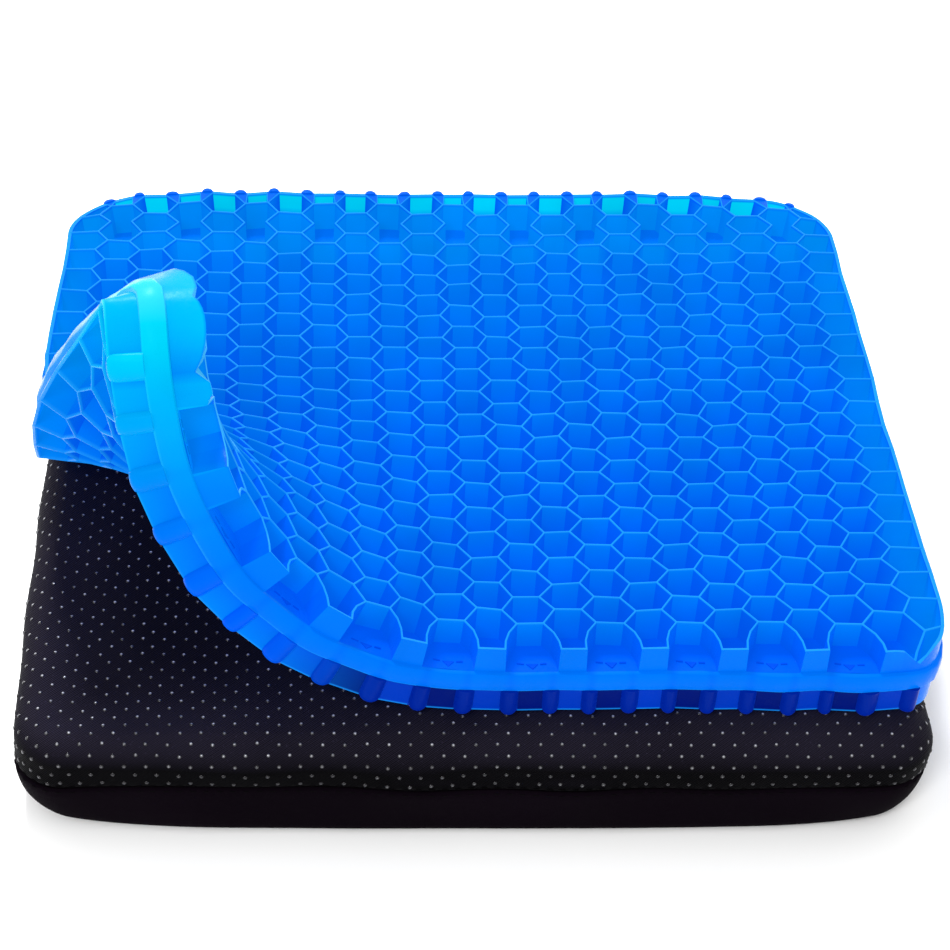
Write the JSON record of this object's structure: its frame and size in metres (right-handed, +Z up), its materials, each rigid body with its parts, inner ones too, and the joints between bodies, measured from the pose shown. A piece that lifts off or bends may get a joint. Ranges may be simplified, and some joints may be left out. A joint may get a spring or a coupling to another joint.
{
  "type": "seat cushion",
  "caption": "Zip-off black seat cushion cover over a core, with a loose gel honeycomb pad on top whose front left corner is curled up.",
  "frame": {"origin": "centre of the cover's underside, on the floor", "axes": "+X to the right along the width, +Y to the back, +Z up"},
  "size_m": [0.419, 0.3785, 0.2622],
  "materials": {
    "dotted_fabric": "twill with grip dots",
    "plain_fabric": "matte",
    "tape": "woven",
    "core": "foam",
    "zip_plastic": "satin",
    "zip_metal": "satin black",
    "gel": "translucent, glossy"
  },
  "bodies": {
    "cover": {"cover_top_panel": "dotted_fabric", "cover_bottom_panel": "plain_fabric", "seam_binding": "tape", "foam_core": "core", "zip_tape_upper": "tape", "zip_tape_lower": "tape", "zip_teeth_upper": "zip_plastic", "zip_teeth_lower": "zip_plastic", "zip_end_stops": "zip_metal"},
    "slider": {"zip_slider": "zip_metal"},
    "pull": {"zip_pull": "zip_metal"},
    "pad": {"gel_pad": "gel", "gel_bend": "gel"},
    "pad_corner": {"gel_corner": "gel"}
  },
  "joints": [
    {"name": "zip_slide", "type": "slide", "parent": "cover", "child": "slider", "axis": [1, 0, 0], "range_m": [-0.316, 0]},
    {"name": "zip_pull_swing", "type": "hinge", "parent": "slider", "child": "pull", "pos_m": [0.158, 0.1902, 0.0276], "axis": [1, 0, 0], "range_deg": [0, 150]},
    {"name": "gel_pad_lift", "type": "slide", "parent": "cover", "child": "pad", "axis": [0, 0, 1], "range_m": [0, 0.12]},
    {"name": "gel_corner_fold", "type": "hinge", "parent": "pad", "child": "pad_corner", "pos_m": [0.007, -0.036, 0.0855], "axis": [-0.0691, 0.9879, -0.1392], "range_deg": [-52, 0]}
  ]
}
